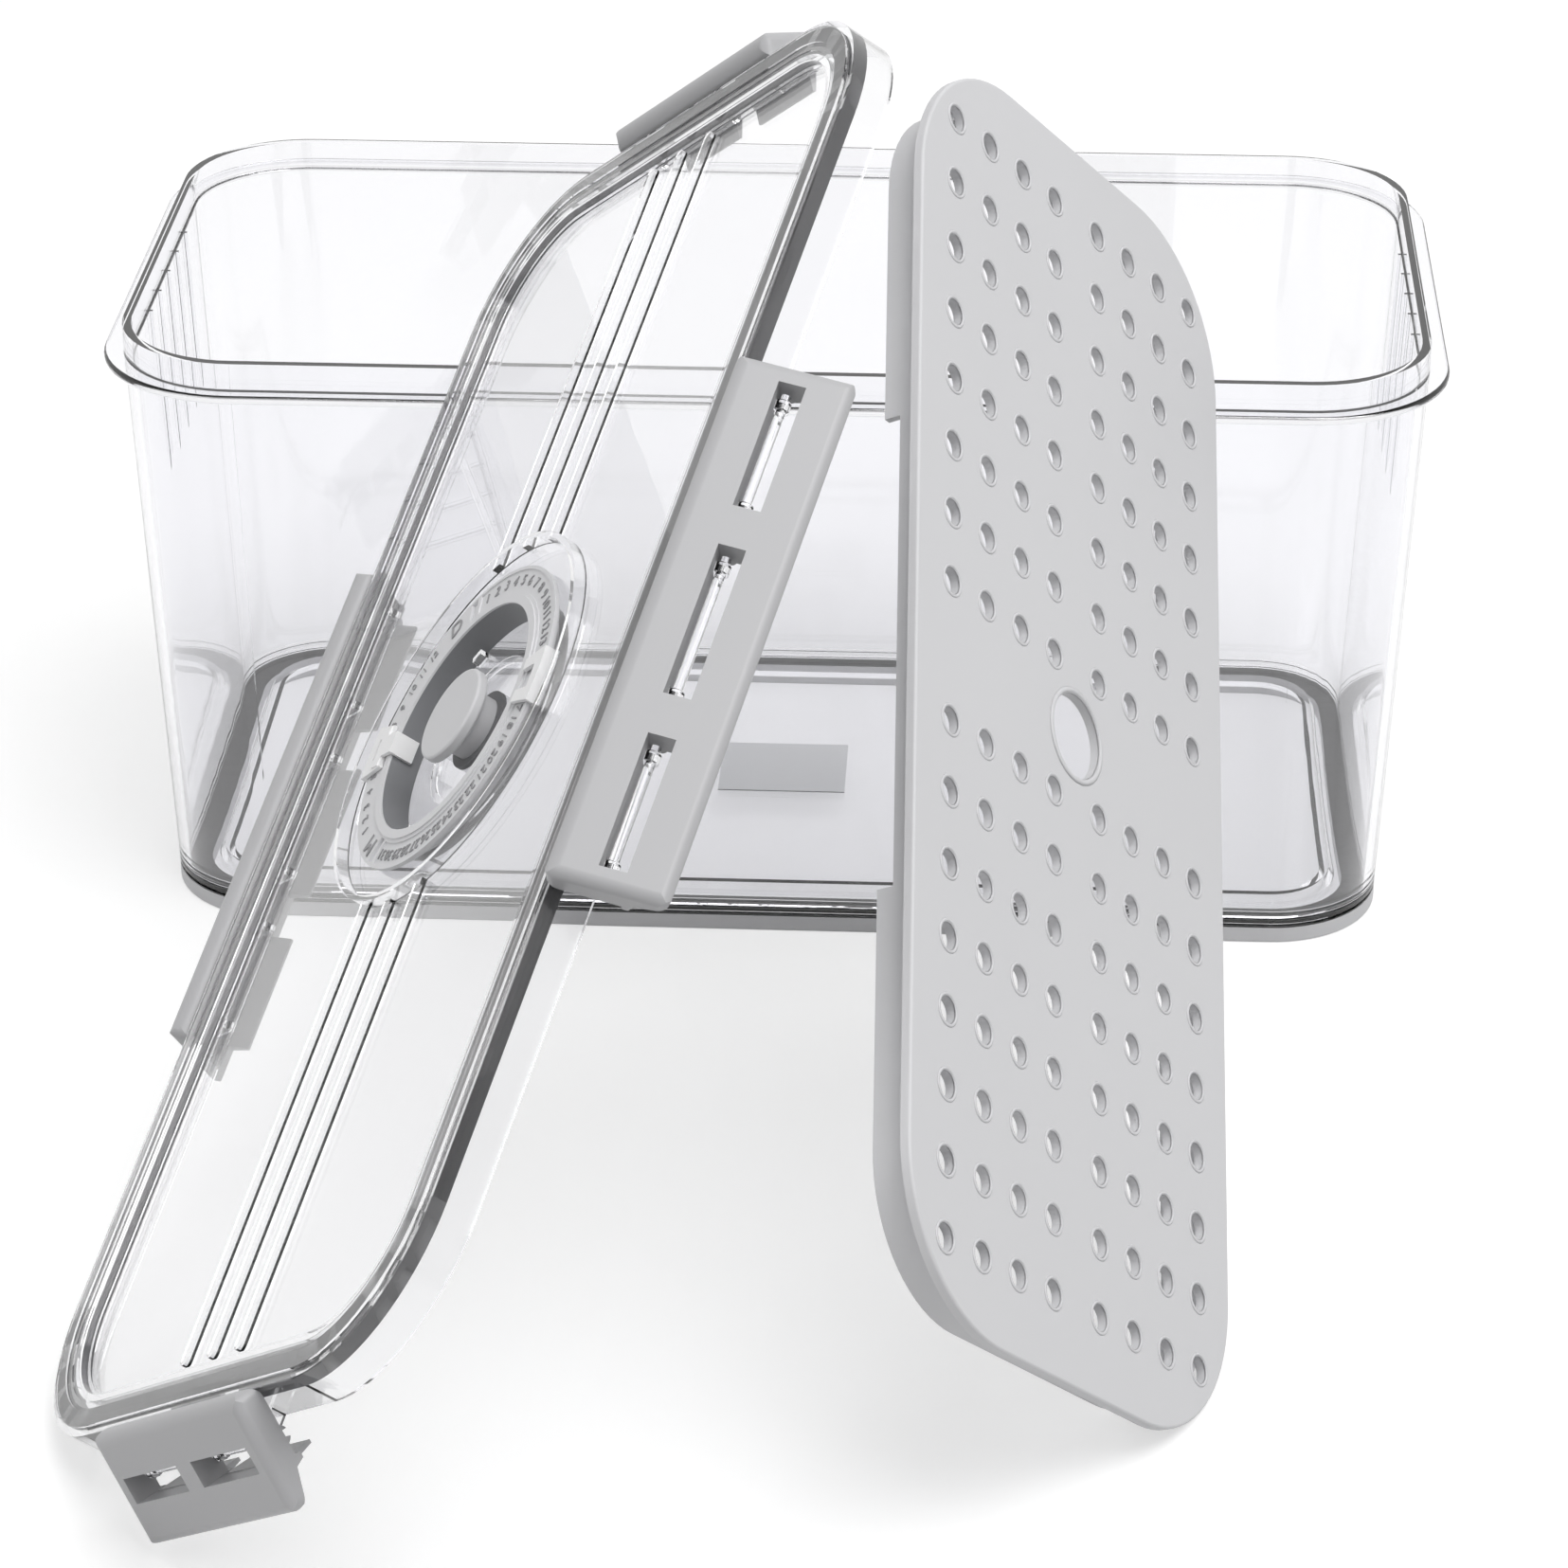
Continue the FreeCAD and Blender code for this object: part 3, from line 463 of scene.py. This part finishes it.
# %% Lay the frosted patch
frosted_san = clear_san("frosted_san", "#DCDDDF", roughness=0.4, clearness=0.25)
box_low, box_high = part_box("container_body")
box_middle = (box_low + box_high) / 2
floor_top, patch_lift = mm(9.5), mm(0.06)
patch_half = Vector((mm(17), mm(14), mm(0.05)))
patch_corners = [(box_middle.x + x * patch_half.x, box_middle.y + y * patch_half.y,
                  floor_top + patch_lift + z * patch_half.z)
                 for z in (-1, 1) for y in (-1, 1) for x in (-1, 1)]
patch_sides = [(0, 2, 3, 1), (4, 5, 7, 6), (0, 1, 5, 4), (2, 6, 7, 3), (0, 4, 6, 2), (1, 3, 7, 5)]
patch_mesh = bpy.data.meshes.new("frosted_patch")
patch_mesh.from_pydata(patch_corners, [], patch_sides)
patch_mesh.materials.append(frosted_san)
frosted_patch = add_object("frosted_patch", patch_mesh)
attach(frosted_patch, "base")
print("patch under the middle of the box:", [round(v, 3) for v in box_middle])


# %% [markdown]
# ## Floor and light
# Clear plastic shows whatever is behind it, so a plain pale floor under an even white surrounding
# does most of the work. The floor gives back most of the light that falls on it, and its soft
# shadows stay. For rays that see it straight, mirrored or through plastic it also glows a little,
# which lifts it to the white of the paper. The surrounding is white near the horizon and greyer
# overhead, so that the rims have something darker to bend. Straight on it is white everywhere, and
# the light that it throws on things is weaker than that white.

# %% Tell the kinds of ray apart
def seen_or_mirrored(tree):
    """1 for rays that see a thing straight, mirrored or through plastic, 0 for light on things."""
    path = put(tree, "ShaderNodeLightPath").outputs
    straight_or_mirrored = put(tree, "ShaderNodeMath", {
        0: path["Is Camera Ray"], 1: path["Is Glossy Ray"]}, operation="MAXIMUM")
    seen_any_way = put(tree, "ShaderNodeMath", {
        0: straight_or_mirrored.outputs[0], 1: path["Is Transmission Ray"]}, operation="MAXIMUM")
    return seen_any_way.outputs[0]


# %% Make the paper
fibre_size = mm(3)
paper_glow = 0.55
paper, tree, place = start("pale_paper")
fibre = put(tree, "ShaderNodeTexNoise", {"Vector": place, "Scale": 1 / fibre_size, "Detail": 3.0})
shade = put(tree, "ShaderNodeMix", {
    "Factor": fibre.outputs["Fac"], "A": tone("#C6C6C6"), "B": tone("#CCCCCC")}, data_type="RGBA")
matt = put(tree, "ShaderNodeBsdfDiffuse", {"Color": shade.outputs["Result"]})
glow = put(tree, "ShaderNodeEmission", {"Color": white, "Strength": paper_glow})
no_glow = put(tree, "ShaderNodeEmission", {"Color": black, "Strength": 0.0})
lift = put(tree, "ShaderNodeMixShader", {
    0: seen_or_mirrored(tree), 1: no_glow.outputs[0], 2: glow.outputs[0]})
total = put(tree, "ShaderNodeAddShader", {0: matt.outputs[0], 1: lift.outputs[0]})
finish_material(tree, total.outputs[0])
print("floor material:", paper.name)

# %% Lay the floor
floor_half = 12.0
floor_corners = [(-floor_half, -floor_half, 0), (floor_half, -floor_half, 0),
                 (floor_half, floor_half, 0), (-floor_half, floor_half, 0)]
floor_mesh = bpy.data.meshes.new("floor")
floor_mesh.from_pydata(floor_corners, [], [(0, 1, 2, 3)])
floor_mesh.materials.append(paper)
floor = add_object("floor", floor_mesh)
print("floor side:", 2 * floor_half)

# %% Light the surrounding
darker_from, darkest_from = 0.5, 0.85
overhead_strength, ambient_strength = 0.12, 0.34
world = bpy.data.worlds.new("surrounding")
bpy.context.scene.world = world
world.use_nodes = True
tree = world.node_tree
tree.nodes.clear()
way = put(tree, "ShaderNodeTexCoord").outputs["Generated"]
rise = put(tree, "ShaderNodeSeparateXYZ", {0: way}).outputs["Z"]
overhead = put(tree, "ShaderNodeMapRange", {
    "Value": rise, "From Min": darker_from, "From Max": darkest_from,
    "To Min": 1.0, "To Max": overhead_strength})
path = put(tree, "ShaderNodeLightPath").outputs
strength = put(tree, "ShaderNodeMath", {
    0: path["Is Camera Ray"], 1: overhead.outputs[0]}, operation="MAXIMUM")
seen = put(tree, "ShaderNodeBackground", {"Color": white, "Strength": strength.outputs[0]})
ambient = put(tree, "ShaderNodeBackground", {"Color": white, "Strength": ambient_strength})
mixed = put(tree, "ShaderNodeMixShader", {
    0: seen_or_mirrored(tree), 1: ambient.outputs[0], 2: seen.outputs[0]})
put(tree, "ShaderNodeOutputWorld", {"Surface": mixed.outputs[0]})
print("surrounding:", world.name)


# %% [markdown]
# ## Lamps
# Two large soft lamps stand in for a studio's softboxes: a wide one overhead, a little to the front
# and to the right, which lights the faces that lean back more than the upright ones, and a weaker
# one on the left that opens the shadows.

# %% Hang the lamps
lamp_aim = Vector((0, 0, 0.1))


def softbox(name, place, side, power):
    """Square soft lamp that is turned to the middle of the group."""
    light = bpy.data.lights.new(name, "AREA")
    light.shape = "SQUARE"
    light.size = side
    light.energy = power
    lamp = add_object(name, light)
    lamp.location = place
    lamp.rotation_euler = (lamp_aim - Vector(place)).to_track_quat("-Z", "Y").to_euler()
    return lamp


key = softbox("key_softbox", place=(0.68, -0.45, 2.1), side=1.8, power=40)
fill = softbox("fill_softbox", place=(-1.7, -0.9, 1.5), side=1.4, power=9)
print("lamps:", key.name, fill.name)

# %% [markdown]
# ## Camera
# The photograph was taken with a long lens from in front, about 27 degrees above the table. The
# place, the aim and the lens were fitted to the outlines of the box, the lid and the tray.

# %% Place the camera
camera_place = Vector((0.0617, -1.0581, 0.6249))
camera_aim = Vector((0.0016, 0.1273, 0.0195))
sensor_width_mm, focal_length_mm = 36, 115.5
farthest_seen = 100
lens = bpy.data.cameras.new("camera")
lens.sensor_width = sensor_width_mm
lens.lens = focal_length_mm
lens.clip_end = farthest_seen
camera = add_object("camera", lens)
camera.location = camera_place
camera.rotation_euler = (camera_aim - camera_place).to_track_quat("-Z", "Y").to_euler()
bpy.context.scene.camera = camera
bpy.context.scene.view_settings.view_transform = "Standard"
print("camera to aim:", round((camera_aim - camera_place).length, 3), "m")

# %% Update the scene
bpy.context.view_layer.update()
